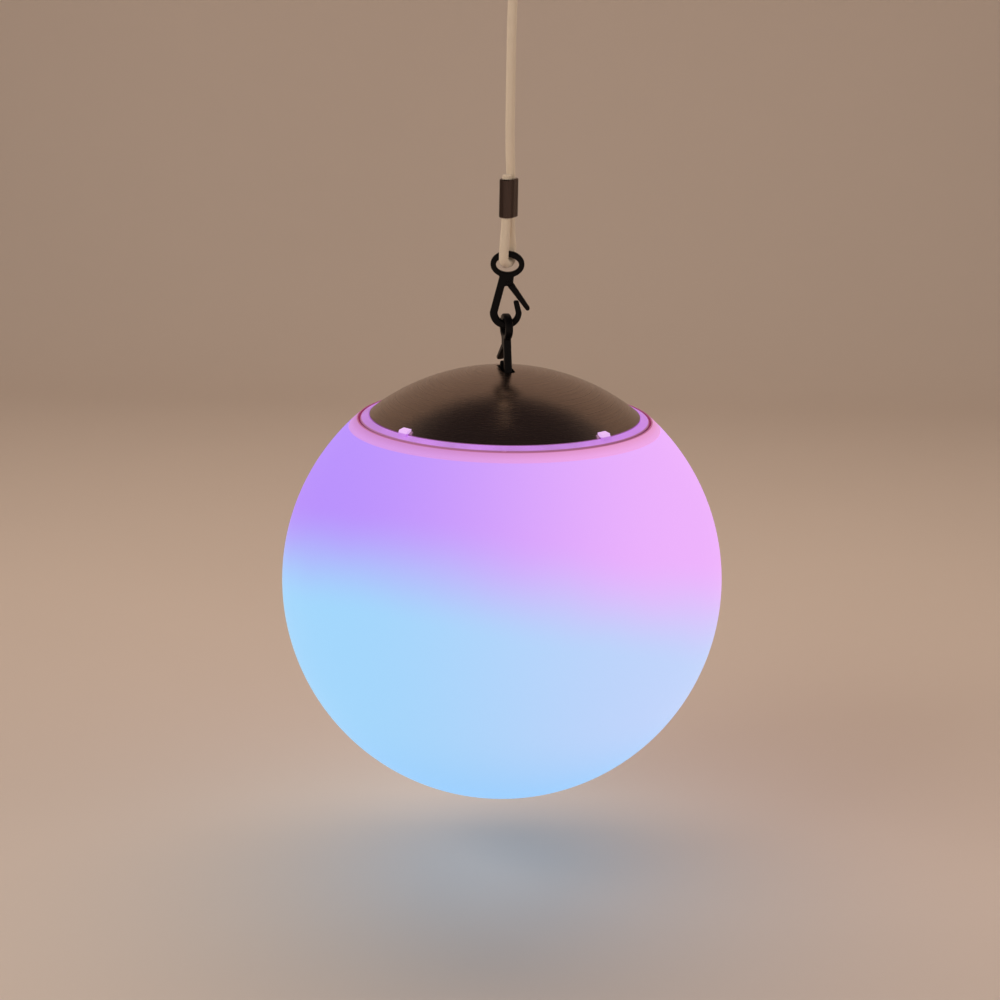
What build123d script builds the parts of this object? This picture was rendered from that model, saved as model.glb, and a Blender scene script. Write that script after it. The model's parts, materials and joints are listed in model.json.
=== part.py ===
"""Hanging and floating globe light: a milky globe, a twist-off light unit under a steel dome, and a hanging line.

The origin is the middle of the rail that the top hook hangs on, and +Z is up. Sizes are in millimetres.
Heights in the globe and the light unit are measured from the middle of the globe, with level() and section.
"""

import os
from math import cos, degrees, radians, sin, sqrt

from build123d import *

# ---- driving dimensions -------------------------------------------------------------------------
# Snap hook, drawn with the middle of its eye at (0, 0) and its bow below.
HOOK_THICK = 5.0
EYE_RX, EYE_RY = 11.25, 8.8
EYE_HOLE_RX, EYE_HOLE_RY, EYE_HOLE_Y = 7.6, 4.9, -0.3
BOW_DROP = 32.3
BOW_INNER_R = 6.0
BOW_OUTER_R, BOW_OUTER_X = 10.6, -0.6
NOSE_TIP, NOSE_HALF = (5.9, -24.2), 1.75
NECK = ((-1.6, -14.6), (2.6, -14.2), (4.0, -12.4), (4.6, -7.0))
HOOK_EDGE_R = 1.3
PIVOT = (0.8, -11.6)
EAR_R, TONGUE_R = 3.2, 2.3
TONGUE_THICK, FORK_GAP = 2.2, 2.8
TRUNNION_R, TRUNNION_HOLE_R = 1.2, 1.4
GATE_THICK, GATE_LENGTH, GATE_EDGE_R = 4.4, 21.9, 0.9
GATE_ROOT_R, GATE_TIP_R = 2.3, 1.5
GATE_SHUT, GATE_TRAVEL = 36.5, 30.0
LOWER_GATE_ANGLE = 55.0
LOWER_HOOK_TURN = 102.0

# Hanging line.
CORD_R = 3.1
CORD_GAP = 0.9
LINK_GAP = 0.3
LOOP_R = 6.6
LOOP_TURN = 68.0
LEG_R = 3.35
FERRULE_LONG, FERRULE_WIDE, FERRULE_HIGH = 16.6, 9.9, 25.3
FERRULE_FROM_LOOP = 24.0
CORD_STRAIGHT = 138.0
TAIL_STUB = 2.7

# Globe and collar, about the middle of the globe.
GLOBE_R, GLOBE_WALL = 150.0, 2.5
MOUTH_R = 105.0
COLLAR_IN_R, COLLAR_BORE_R, COLLAR_WALL_R = 98.6, 92.0, 96.0
COLLAR_LEDGE_Z, COLLAR_FOOT_Z = 107.5, 92.0
COLLAR_WING_R, COLLAR_WING_END = 145.0, 114.0
WELD_GAP = 0.1

# Light unit: the base pan and what closes it.
RING_R, RING_INNER_R = 97.2, 91.4
RING_EDGE_Z, RING_CREST_Z, SEAT_Z, RING_UNDER_Z = 113.0, 115.3, 114.4, 110.5
PAN_R, PAN_WALL = 86.5, 2.5
FLOOR_Z, FLOOR_THICK = 80.0, 2.6
LUG_ANGLE, LUG_COUNT = 24.0, 4
LUG_Z, LUG_HIGH, LUG_R = 93.5, 3.7, 91.4
CATCH_Z, CATCH_HIGH, CATCH_R = 97.5, 3.5, 87.4
DOME_R, DOME_THICK, DOME_FOOT_R = 147.0, 0.8, 91.0
SLOT_WIDE, SLOT_LONG, SLOT_CORNER = 8.0, 28.0, 3.0
LID_Z, LID_THICK, LID_R = 111.4, 2.6, 83.7
BOSS_PITCH_R, BOSS_R, BOSS_COUNT = 75.0, 4.5, 6
BAR_Z, BAR_R = 139.0, 2.0
RECESS_Z, POST_WALL = 119.0, 2.4
WINDOW_R = 31.0
GASKET_THICK = 1.2
CLIP_WIDE_ANGLE = 4.6
INDEX_WIDE = 3.5
LED_BOARD_R, LED_BOARD_Z, BOARD_THICK = 42.0, 84.2, 1.6
LENS_Z, LENS_FLANGE_R, LENS_SCREW_R = 79.2, 42.0, 38.0
CELL_R, CELL_LONG, CELL_Y, CELL_Z = 9.25, 65.0, 52.0, 93.2
CONTROL_Z, CONTROL_LONG, CONTROL_WIDE = 92.0, 50.0, 26.0
BUTTON_X, BUTTON_R, BUTTON_TRAVEL = 57.0, 6.0, 1.5
SWITCH_BOARD_Z, SWITCH_HIGH = 92.1, 6.0
PORT_X, PORT_R = -57.0, 4.7
POST_FLANGE_R, POST_BASE_Z = 22.0, 114.0
POST_SCREW_X, POST_SCREW_Y = 12.0, 13.0

# ---- heights down the chain, from the rail ------------------------------------------------------
TOP_EYE_Z = -BOW_DROP
TOP_LOOP_Z = TOP_EYE_Z - (EYE_HOLE_Y + EYE_HOLE_RY) + CORD_GAP + CORD_R - LOOP_R
UPPER_FERRULE_Z = TOP_LOOP_Z - FERRULE_FROM_LOOP - FERRULE_HIGH
LOWER_FERRULE_Z = UPPER_FERRULE_Z - CORD_STRAIGHT - FERRULE_HIGH
LOW_LOOP_Z = LOWER_FERRULE_Z - FERRULE_FROM_LOOP
MIDDLE_EYE_Z = LOW_LOOP_Z - LOOP_R + CORD_R + CORD_GAP - (EYE_HOLE_Y + EYE_HOLE_RY)
CRADLE_GAP = 0.9
MIDDLE_BOW_Z = MIDDLE_EYE_Z - BOW_DROP
LOWER_EYE_Z = MIDDLE_BOW_Z - BOW_INNER_R + CRADLE_GAP - (EYE_HOLE_Y + EYE_HOLE_RY)
LOWER_BOW_Z = LOWER_EYE_Z - BOW_DROP
GLOBE_Z = LOWER_BOW_Z - BOW_INNER_R + LINK_GAP + BAR_R - BAR_Z

section = Plane(origin=(0, 0, GLOBE_Z), x_dir=(1, 0, 0), z_dir=(0, -1, 0))


def level(height):
    """The horizontal plane at a height above the middle of the globe."""
    return Plane.XY.offset(GLOBE_Z + height)


def upright(z, turn=0, upside_down=False):
    """A vertical plane through the hanging axis at height z, with its x turned about +Z."""
    side = (cos(radians(turn)), sin(radians(turn)), 0)
    front = (sin(radians(turn)), -cos(radians(turn)), 0)
    if upside_down:
        side = (-side[0], -side[1], 0)
    return Plane(origin=(0, 0, z), x_dir=side, z_dir=front)


def on_sphere(sphere_r, r):
    """Height of a sphere about the globe's middle at radius r from the axis."""
    return sqrt(sphere_r**2 - r**2)


def sphere_arc(sphere_r, r_from, r_to):
    """An arc of that sphere in the section, from one radius to another."""
    r_mid = (r_from + r_to) / 2
    return ThreePointArc(
        (r_from, on_sphere(sphere_r, r_from)),
        (r_mid, on_sphere(sphere_r, r_mid)),
        (r_to, on_sphere(sphere_r, r_to)),
    )


def gate_direction(angle):
    """Unit vector along the gate, at that angle out from straight down."""
    return sin(radians(angle)), -cos(radians(angle))


def along(start, direction, distance, aside=0.0):
    """A point that far along a direction, and aside to its left."""
    return (
        start[0] + direction[0] * distance - direction[1] * aside,
        start[1] + direction[1] * distance + direction[0] * aside,
    )


def save(part, name):
    part.label = name
    export_step(part, f"parts/{name}.step")


os.makedirs("parts", exist_ok=True)


# ---- snap hooks and their gates -----------------------------------------------------------------
def hook_body(plane):
    """Eye, neck, limb, bow and nose in one moulding, with a fork in the neck for the gate."""
    shut, wide = gate_direction(GATE_SHUT - 4), gate_direction(GATE_SHUT + GATE_TRAVEL + 4)
    left, right, drop = BOW_OUTER_X - BOW_OUTER_R, BOW_OUTER_X + BOW_OUTER_R, -BOW_DROP
    nose_x, nose_y = NOSE_TIP
    with BuildPart() as body:
        with BuildSketch(plane) as outline:
            with BuildLine():
                Line((-5.0, -7.5), (left, drop))
                ThreePointArc((left, drop), (BOW_OUTER_X, drop - BOW_OUTER_R), (right, drop))
                Polyline(
                    (right, drop),
                    (nose_x + NOSE_HALF, nose_y),
                    (nose_x - NOSE_HALF, nose_y),
                    (BOW_INNER_R, drop),
                )
                ThreePointArc((BOW_INNER_R, drop), (0, drop - BOW_INNER_R), (-BOW_INNER_R, drop))
                Polyline((-BOW_INNER_R, drop), *NECK, (-5.0, -7.5))
            make_face()
            Ellipse(EYE_RX, EYE_RY)
            fillet(outline.vertices(), 1.2)
            with Locations((0, EYE_HOLE_Y)):
                Ellipse(EYE_HOLE_RX, EYE_HOLE_RY, mode=Mode.SUBTRACT)
        extrude(amount=HOOK_THICK / 2, both=True)
        rims = body.edges().filter_by(
            lambda e: abs(abs(plane.to_local_coords(e.center()).Z) - HOOK_THICK / 2) < 1e-3
        )
        fillet(rims, HOOK_EDGE_R)
        with BuildSketch(plane):
            with Locations(PIVOT):
                Circle(TONGUE_R + 0.35)
            with BuildLine():
                Polyline(
                    along(PIVOT, shut, 0, -TONGUE_R - 0.2),
                    along(PIVOT, shut, 8, -TONGUE_R - 0.2),
                    along(PIVOT, wide, 8, TONGUE_R + 0.2),
                    along(PIVOT, wide, 0, TONGUE_R + 0.2),
                    close=True,
                )
            make_face()
        extrude(amount=FORK_GAP / 2, both=True, mode=Mode.SUBTRACT)
        with BuildSketch(plane):
            with Locations(PIVOT):
                Circle(TRUNNION_HOLE_R)
        extrude(amount=HOOK_THICK, both=True, mode=Mode.SUBTRACT)
    return body.part


def hook_gate(plane, angle):
    """The straight arm that closes the bow, with a tongue and two trunnions that snap into the fork."""
    tip = along(PIVOT, gate_direction(angle), GATE_LENGTH)
    with BuildPart() as gate:
        with BuildSketch(plane):
            with Locations(PIVOT):
                Circle(GATE_ROOT_R)
            with Locations(tip):
                Circle(GATE_TIP_R)
            make_hull()
        extrude(amount=GATE_THICK / 2, both=True)
        rims = gate.edges().filter_by(
            lambda e: abs(abs(plane.to_local_coords(e.center()).Z) - GATE_THICK / 2) < 1e-3
        )
        fillet(rims, GATE_EDGE_R)
        for face in (-1, 1):
            with BuildSketch(plane.offset(face * TONGUE_THICK / 2)):
                with Locations(PIVOT):
                    Circle(EAR_R + 0.4)
            extrude(amount=face * GATE_THICK, mode=Mode.SUBTRACT)
        with BuildSketch(plane):
            with Locations(PIVOT):
                Circle(TRUNNION_R)
        extrude(amount=HOOK_THICK / 2, both=True)
    return gate.part


top_plane = upright(TOP_EYE_Z, upside_down=True)
middle_plane = upright(MIDDLE_EYE_Z)
lower_plane = upright(LOWER_EYE_Z, LOWER_HOOK_TURN)

save(hook_body(top_plane), "top_hook")
save(hook_gate(top_plane, GATE_SHUT), "top_hook_gate")
save(hook_body(middle_plane), "middle_hook")
save(hook_gate(middle_plane, GATE_SHUT), "middle_hook_gate")
save(hook_body(lower_plane), "lower_hook")
save(hook_gate(lower_plane, LOWER_GATE_ANGLE), "lower_hook_gate")

# ---- cord, with a crimped loop at each end ------------------------------------------------------
# In the plane of the loops: x runs from the cut tails (negative) to the load-bearing leg.
cord_plane = upright(0, LOOP_TURN)
lower_top = LOWER_FERRULE_Z + FERRULE_HIGH
upper_top = UPPER_FERRULE_Z + FERRULE_HIGH
CORD_ROUTE = [
    (-LEG_R, lower_top + TAIL_STUB),
    (-LEG_R, LOWER_FERRULE_Z - 2.0),
    (-LOOP_R, LOW_LOOP_Z + 2.5),
    (-LOOP_R, LOW_LOOP_Z - LOOP_R),
    (LOOP_R, LOW_LOOP_Z - LOOP_R),
    (LOOP_R, LOW_LOOP_Z + 2.5),
    (LEG_R, LOWER_FERRULE_Z - 2.0),
    (LEG_R, lower_top + 2.0),
    (0.0, lower_top + 26.0),
    (0.0, UPPER_FERRULE_Z - 26.0),
    (LEG_R, UPPER_FERRULE_Z - 2.0),
    (LEG_R, upper_top + 2.0),
    (LOOP_R, TOP_LOOP_Z - 2.5),
    (LOOP_R, TOP_LOOP_Z + LOOP_R),
    (-LOOP_R, TOP_LOOP_Z + LOOP_R),
    (-LOOP_R, TOP_LOOP_Z - 2.5),
    (-LEG_R, upper_top + 2.0),
    (-LEG_R, UPPER_FERRULE_Z - TAIL_STUB),
]
TURN_R = LOOP_R - 0.05


def bend_radii(points):
    """The largest radius each corner's two runs allow: 0.45 of the shorter, over tan of half the turn."""
    radii = []
    for before, here, after in zip(points, points[1:], points[2:]):
        into, out = Vector(*here) - Vector(*before), Vector(*after) - Vector(*here)
        turn = into.get_angle(out)
        half = radians(turn / 2)
        room = 0.45 * min(into.length, out.length)
        radii.append(TURN_R if turn > 60 else min(room / (sin(half) / cos(half)), 160.0))
    return radii


radii = bend_radii(CORD_ROUTE)
for corner in (1, 4, 11, 14):
    radii[corner] = min(radii[corner], 18.0)
for corner in (0, 5, 6, 9, 10, 15):
    radii[corner] = min(radii[corner], 24.0)
print("cord bend radii", [round(r, 1) for r in radii])
with BuildPart() as cord:
    with BuildLine(cord_plane) as route:
        FilletPolyline(*CORD_ROUTE, radius=radii)
    start = route.wires()[0]
    with BuildSketch(Plane(origin=start @ 0, z_dir=start % 0)):
        Circle(CORD_R)
    sweep(path=start)
print("cord length", round(start.length, 1), "volume share", cord.part.volume / (start.length * 3.14159 * CORD_R**2))
save(cord.part, "cord")


def ferrule(z):
    """An oval sleeve crimped over the two legs of a loop."""
    with BuildPart() as sleeve:
        with BuildSketch(Plane(origin=(0, 0, z), x_dir=cord_plane.x_dir, z_dir=(0, 0, 1))):
            SlotOverall(FERRULE_LONG, FERRULE_WIDE)
            with Locations((-LEG_R, 0), (LEG_R, 0)):
                Circle(CORD_R + 0.05, mode=Mode.SUBTRACT)
        extrude(amount=FERRULE_HIGH)
        ends = sleeve.faces().filter_by(Axis.Z)
        fillet([e for f in ends for e in f.outer_wire().edges()], 0.8)
    return sleeve.part


save(ferrule(LOWER_FERRULE_Z), "lower_ferrule")
save(ferrule(UPPER_FERRULE_Z), "upper_ferrule")

# ---- globe and its collar -----------------------------------------------------------------------
with BuildPart() as globe_shell:
    mouth = MOUTH_R + WELD_GAP
    inner = GLOBE_R - GLOBE_WALL
    with BuildSketch(section):
        with BuildLine():
            ThreePointArc((mouth, on_sphere(GLOBE_R, mouth)), (GLOBE_R, 0), (0, -GLOBE_R))
            Line((0, -GLOBE_R), (0, -inner))
            ThreePointArc((0, -inner), (inner, 0), (mouth, on_sphere(inner, mouth)))
            Line((mouth, on_sphere(inner, mouth)), (mouth, on_sphere(GLOBE_R, mouth)))
        make_face()
    revolve(axis=Axis.Z)
save(globe_shell.part, "globe_shell")


def sector_gaps(angle):
    """The four wedges left between blocks of that angle, which stand at 45, 135, 225 and 315 degrees."""
    spread = GLOBE_R * sin(radians(45 - angle / 2)) / cos(radians(45 - angle / 2))
    with BuildSketch(mode=Mode.PRIVATE) as gaps:
        with PolarLocations(0, LUG_COUNT):
            Polygon((0, 0), (GLOBE_R, -spread), (GLOBE_R, spread), align=None)
    return gaps.sketch


def block_ring(inner_r, outer_r, z, high, angle):
    """A ring of four bayonet blocks between two radii."""
    with BuildPart() as ring:
        with BuildSketch(level(z)):
            Circle(outer_r)
            Circle(inner_r, mode=Mode.SUBTRACT)
            add(sector_gaps(angle), mode=Mode.SUBTRACT)
        extrude(amount=high)
    return ring.part


with BuildPart() as globe_collar:
    wing_top = GLOBE_R - GLOBE_WALL - WELD_GAP
    wing_in_r = COLLAR_WING_END * COLLAR_WING_R / wing_top
    web_r = COLLAR_WALL_R + 4.5
    with BuildSketch(section):
        with BuildLine():
            sphere_arc(GLOBE_R, COLLAR_IN_R, MOUTH_R)
            Line((MOUTH_R, on_sphere(GLOBE_R, MOUTH_R)), (MOUTH_R, on_sphere(wing_top, MOUTH_R)))
            sphere_arc(wing_top, MOUTH_R, COLLAR_WING_END)
            Line((COLLAR_WING_END, on_sphere(wing_top, COLLAR_WING_END)), (wing_in_r, on_sphere(COLLAR_WING_R, wing_in_r)))
            sphere_arc(COLLAR_WING_R, wing_in_r, web_r)
            Polyline(
                (web_r, on_sphere(COLLAR_WING_R, web_r)),
                (COLLAR_WALL_R, on_sphere(COLLAR_WING_R, web_r) - 1),
                (COLLAR_WALL_R, COLLAR_FOOT_Z),
                (COLLAR_BORE_R, COLLAR_FOOT_Z),
                (COLLAR_BORE_R, COLLAR_LEDGE_Z),
                (COLLAR_IN_R, COLLAR_LEDGE_Z),
                (COLLAR_IN_R, on_sphere(GLOBE_R, COLLAR_IN_R)),
            )
        make_face()
    revolve(axis=Axis.Z)
    add(block_ring(CATCH_R, COLLAR_BORE_R + 1, CATCH_Z, CATCH_HIGH, LUG_ANGLE))
save(globe_collar.part, "globe_collar")

# ---- light unit: base pan -----------------------------------------------------------------------
with BuildPart() as cap_base:
    wall_in = PAN_R - PAN_WALL
    floor_top = FLOOR_Z + FLOOR_THICK
    with BuildSketch(section):
        with BuildLine():
            Polyline(
                (WINDOW_R, FLOOR_Z),
                (PAN_R - 1.5, FLOOR_Z),
                (PAN_R, FLOOR_Z + 1.5),
                (PAN_R, RING_UNDER_Z),
                (RING_R, RING_UNDER_Z),
                (RING_R, RING_EDGE_Z - 0.6),
                (RING_R - 0.6, RING_EDGE_Z),
                (RING_INNER_R + 0.8, RING_CREST_Z),
                (RING_INNER_R, RING_CREST_Z - 0.3),
                (RING_INNER_R, SEAT_Z),
                (wall_in, SEAT_Z),
                (wall_in, LID_Z - GASKET_THICK),
                (wall_in - 3.5, LID_Z - GASKET_THICK),
                (wall_in - 3.5, LID_Z - 3.5),
                (wall_in, LID_Z - 7.0),
                (wall_in, floor_top),
                (WINDOW_R, floor_top),
                close=True,
            )
        make_face()
    revolve(axis=Axis.Z)
    add(block_ring(PAN_R - 1, LUG_R, LUG_Z, LUG_HIGH, LUG_ANGLE))
    with BuildSketch(level(floor_top - 0.5)):
        with PolarLocations(BOSS_PITCH_R, BOSS_COUNT):
            Circle(BOSS_R)
        Circle(36.0)
        Circle(33.0, mode=Mode.SUBTRACT)
    extrude(amount=LED_BOARD_Z - floor_top + 0.5)
    with BuildSketch(level(floor_top)):
        with PolarLocations(BOSS_PITCH_R, BOSS_COUNT):
            Circle(BOSS_R)
    extrude(amount=LID_Z - floor_top)
    with BuildSketch(level(floor_top - 0.5)):
        with Locations((BUTTON_X, 10.5), (BUTTON_X, -10.5)):
            Circle(2.2)
    extrude(amount=SWITCH_BOARD_Z - floor_top + 0.5)
    with BuildSketch(level(LID_Z)):
        with PolarLocations(BOSS_PITCH_R, BOSS_COUNT):
            Circle(1.55)
    extrude(amount=-10, mode=Mode.SUBTRACT)
    with BuildSketch(level(FLOOR_Z)):
        with PolarLocations(LENS_SCREW_R, 4, start_angle=45):
            Circle(1.3)
    extrude(amount=2.2, mode=Mode.SUBTRACT)
    with BuildSketch(level(FLOOR_Z)):
        with Locations((BUTTON_X, 0)):
            Circle(BUTTON_R + 0.4)
        with Locations((PORT_X, 0)):
            Circle(PORT_R + 0.3)
    extrude(amount=FLOOR_THICK, mode=Mode.SUBTRACT)
    with BuildPart(mode=Mode.PRIVATE) as clips:
        with BuildSketch(section):
            with BuildLine():
                Polyline(
                    (RING_INNER_R + 1.4, RING_CREST_Z - 2.2),
                    (RING_INNER_R + 0.1, RING_CREST_Z + 0.3),
                    (RING_INNER_R - 2.8, RING_CREST_Z + 2.3),
                    (RING_INNER_R - 2.8, RING_CREST_Z + 3.5),
                    (RING_INNER_R + 1.2, RING_CREST_Z + 2.6),
                    (RING_INNER_R + 3.0, RING_CREST_Z - 2.2),
                    close=True,
                )
            make_face()
        revolve(axis=Axis.Z)
        with BuildSketch(level(RING_CREST_Z - 5)):
            add(sector_gaps(CLIP_WIDE_ANGLE))
        extrude(amount=10, mode=Mode.SUBTRACT)
    add(clips.part)
    with BuildSketch(level(RING_UNDER_Z + 0.4)):
        with Locations((0, -RING_R - 0.1)):
            Rectangle(INDEX_WIDE, 2.0)
    extrude(amount=RING_EDGE_Z - RING_UNDER_Z - 0.6)
save(cap_base.part, "cap_base")

# ---- light unit: dome, lid, seals and screws ----------------------------------------------------
def slot_plane(height):
    """A horizontal plane turned with the lower hook, at a height above the middle of the globe."""
    turn = radians(LOWER_HOOK_TURN)
    return Plane(origin=(0, 0, GLOBE_Z + height), x_dir=(cos(turn), sin(turn), 0), z_dir=(0, 0, 1))


with BuildPart() as dome_cover:
    inside = DOME_R - DOME_THICK
    foot = RING_CREST_Z - 0.3
    inner_r = sqrt(inside**2 - foot**2)
    with BuildSketch(section):
        with BuildLine():
            ThreePointArc((0, DOME_R), (50, on_sphere(DOME_R, 50)), (DOME_FOOT_R, on_sphere(DOME_R, DOME_FOOT_R)))
            Polyline(
                (DOME_FOOT_R, on_sphere(DOME_R, DOME_FOOT_R)),
                (DOME_FOOT_R, SEAT_Z + 0.05),
                (85.5, SEAT_Z + 0.05),
                (85.5, foot),
                (inner_r, foot),
            )
            ThreePointArc((inner_r, foot), (50, on_sphere(inside, 50)), (0, inside))
            Line((0, inside), (0, DOME_R))
        make_face()
    revolve(axis=Axis.Z)
    with BuildSketch(slot_plane(DOME_R - 10)):
        RectangleRounded(SLOT_LONG, SLOT_WIDE, SLOT_CORNER)
    extrude(amount=20, mode=Mode.SUBTRACT)
save(dome_cover.part, "dome_cover")

with BuildPart() as hanger_post:
    with BuildSketch(slot_plane(POST_BASE_Z)):
        Circle(POST_FLANGE_R)
    extrude(amount=3)
    with BuildSketch(slot_plane(POST_BASE_Z)):
        RectangleRounded(SLOT_LONG + 2 * POST_WALL, SLOT_WIDE + 2 * POST_WALL, SLOT_CORNER + POST_WALL)
    extrude(amount=DOME_R - POST_BASE_Z)
    with BuildSketch(slot_plane(RECESS_Z)):
        RectangleRounded(SLOT_LONG, SLOT_WIDE, SLOT_CORNER)
    extrude(amount=40, mode=Mode.SUBTRACT)
    with BuildSketch(slot_plane(POST_BASE_Z)):
        with GridLocations(2 * POST_SCREW_X, 2 * POST_SCREW_Y, 2, 2):
            Circle(1.6)
    extrude(amount=3, mode=Mode.SUBTRACT)
    with Locations(slot_plane(BAR_Z)):
        Cylinder(BAR_R + 0.02, 40, rotation=(90, 0, 0), mode=Mode.SUBTRACT)
    with Locations((0, 0, GLOBE_Z)):
        Sphere(DOME_R - DOME_THICK - 0.1, mode=Mode.INTERSECT)
save(hanger_post.part, "hanger_post")

with BuildPart() as hanger_bar:
    with Locations(slot_plane(BAR_Z)):
        Cylinder(BAR_R, SLOT_WIDE + 2 * POST_WALL, rotation=(90, 0, 0))
save(hanger_bar.part, "hanger_bar")

with BuildPart() as cap_lid:
    with BuildSketch(level(LID_Z)):
        Circle(LID_R)
        with PolarLocations(BOSS_PITCH_R, BOSS_COUNT):
            Circle(1.6, mode=Mode.SUBTRACT)
    extrude(amount=LID_THICK)
    with BuildSketch(slot_plane(LID_Z - 6)):
        with GridLocations(2 * POST_SCREW_X, 2 * POST_SCREW_Y, 2, 2):
            Circle(4)
    extrude(amount=6)
    with BuildSketch(slot_plane(POST_BASE_Z)):
        with GridLocations(2 * POST_SCREW_X, 2 * POST_SCREW_Y, 2, 2):
            Circle(1.55)
    extrude(amount=-7.6, mode=Mode.SUBTRACT)
save(cap_lid.part, "cap_lid")


def screws(plane, places, under_head, long):
    """Pan-head screws whose heads stand on the plane, with shanks going down from it."""
    with BuildPart() as group:
        with BuildSketch(plane):
            with places:
                Circle(2.8)
        extrude(amount=under_head)
        with BuildSketch(plane):
            with places:
                Circle(1.5)
        extrude(amount=-long)
        with BuildSketch(plane.offset(under_head)):
            with places:
                RegularPolygon(1.2, 6)
        extrude(amount=-abs(under_head) * 0.6 if under_head > 0 else abs(under_head) * 0.6, mode=Mode.SUBTRACT)
    return group.part


save(screws(level(LID_Z + LID_THICK), PolarLocations(BOSS_PITCH_R, BOSS_COUNT), 2.0, 10.0), "lid_screws")
post_grid = GridLocations(2 * POST_SCREW_X, 2 * POST_SCREW_Y, 2, 2)
save(screws(slot_plane(POST_BASE_Z + 3), post_grid, 2.0, 9.0), "post_screws")


def flat_ring(inner_r, outer_r, z, high):
    """A flat washer about the hanging axis."""
    with BuildPart() as ring:
        with BuildSketch(level(z)):
            Circle(outer_r)
            Circle(inner_r, mode=Mode.SUBTRACT)
        extrude(amount=high)
    return ring.part


save(flat_ring(PAN_R - PAN_WALL - 3.4, PAN_R - PAN_WALL - 0.2, LID_Z - GASKET_THICK, GASKET_THICK), "lid_gasket")
with BuildPart() as cap_seal:
    add(flat_ring(93.0, 96.6, RING_UNDER_Z - 2.6, 2.6))
    fillet(cap_seal.edges().filter_by(lambda e: e.center().Z < GLOBE_Z + RING_UNDER_Z - 2), 1.1)
save(cap_seal.part, "cap_seal")

# ---- light unit: lens, LEDs and electronics -----------------------------------------------------
def bowl_point(rim_r, deep, rim_z):
    """The point halfway out on a shallow bowl of that rim radius and depth."""
    bowl_r = (rim_r**2 + deep**2) / (2 * deep)
    return rim_r / 2, rim_z - deep + bowl_r - sqrt(bowl_r**2 - (rim_r / 2) ** 2)


with BuildPart() as led_lens:
    with BuildSketch(section):
        with BuildLine():
            Polyline((27, LENS_Z), (LENS_FLANGE_R, LENS_Z), (LENS_FLANGE_R, LENS_Z - 2.4), (30, LENS_Z - 2.4))
            ThreePointArc((30, LENS_Z - 2.4), bowl_point(30, 8.6, LENS_Z - 2.4), (0, LENS_Z - 11))
            Line((0, LENS_Z - 11), (0, LENS_Z - 8.8))
            ThreePointArc((0, LENS_Z - 8.8), bowl_point(27, 8.8, LENS_Z), (27, LENS_Z))
        make_face()
    revolve(axis=Axis.Z)
    with BuildSketch(level(LENS_Z)):
        with PolarLocations(LENS_SCREW_R, 4, start_angle=45):
            Circle(1.6)
    extrude(amount=-3, mode=Mode.SUBTRACT)
save(led_lens.part, "led_lens")
save(flat_ring(WINDOW_R + 0.5, LENS_SCREW_R - 2.5, LENS_Z, FLOOR_Z - LENS_Z), "lens_seal")
with BuildPart() as lens_screws:
    with BuildSketch(level(LENS_Z - 2.4)):
        with PolarLocations(LENS_SCREW_R, 4, start_angle=45):
            Circle(2.6)
    extrude(amount=-1.8)
    with BuildSketch(level(LENS_Z - 2.4)):
        with PolarLocations(LENS_SCREW_R, 4, start_angle=45):
            Circle(1.25)
    extrude(amount=2.4 + FLOOR_Z - LENS_Z + 2.0)
save(lens_screws.part, "lens_screws")

with BuildPart() as led_board:
    with BuildSketch(level(LED_BOARD_Z)):
        Circle(LED_BOARD_R)
    extrude(amount=BOARD_THICK)
save(led_board.part, "led_board")
with BuildPart() as led_chips:
    with BuildSketch(level(LED_BOARD_Z)):
        with PolarLocations(22, 12):
            Rectangle(5, 5)
        with PolarLocations(11, 6):
            Rectangle(5, 5)
    extrude(amount=-0.9)
save(led_chips.part, "led_chips")

with BuildPart() as board_spacers:
    with BuildSketch(level(LED_BOARD_Z + BOARD_THICK)):
        with GridLocations(CONTROL_LONG - 6, CONTROL_WIDE - 6, 2, 2):
            Circle(2)
    extrude(amount=CONTROL_Z - LED_BOARD_Z - BOARD_THICK)
save(board_spacers.part, "board_spacers")
with BuildPart() as control_board:
    with BuildSketch(level(CONTROL_Z)):
        RectangleRounded(CONTROL_LONG, CONTROL_WIDE, 2)
    extrude(amount=BOARD_THICK)
save(control_board.part, "control_board")
with BuildPart() as board_parts:
    for place, size, high in (((-8, 0), (9, 9), 1.4), ((9, 4), (7, 5), 2.2), ((10, -6), (6, 4), 3.0), ((-19, 2), (5, 8), 5.5)):
        with BuildSketch(level(CONTROL_Z + BOARD_THICK)):
            with Locations(place):
                Rectangle(*size)
        extrude(amount=high)
save(board_parts.part, "board_parts")

with BuildPart() as battery_cells:
    with Locations((0, CELL_Y, GLOBE_Z + CELL_Z), (0, -CELL_Y, GLOBE_Z + CELL_Z)):
        Cylinder(CELL_R, CELL_LONG, rotation=(0, 90, 0))
    with Locations((CELL_LONG / 2, CELL_Y, GLOBE_Z + CELL_Z), (-CELL_LONG / 2, -CELL_Y, GLOBE_Z + CELL_Z)):
        Cylinder(3.2, 2.4, rotation=(0, 90, 0))
save(battery_cells.part, "battery_cells")
with BuildPart() as battery_cradles:
    cradle_high = CELL_Z - FLOOR_Z - FLOOR_THICK - 3
    for side in (-1, 1):
        with BuildSketch(level(FLOOR_Z + FLOOR_THICK)):
            with Locations((-18, side * CELL_Y), (18, side * CELL_Y)):
                Rectangle(10, 17)
        extrude(amount=cradle_high)
    with Locations((0, CELL_Y, GLOBE_Z + CELL_Z), (0, -CELL_Y, GLOBE_Z + CELL_Z)):
        Cylinder(CELL_R + 0.05, 80, rotation=(0, 90, 0), mode=Mode.SUBTRACT)
save(battery_cradles.part, "battery_cradles")
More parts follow.
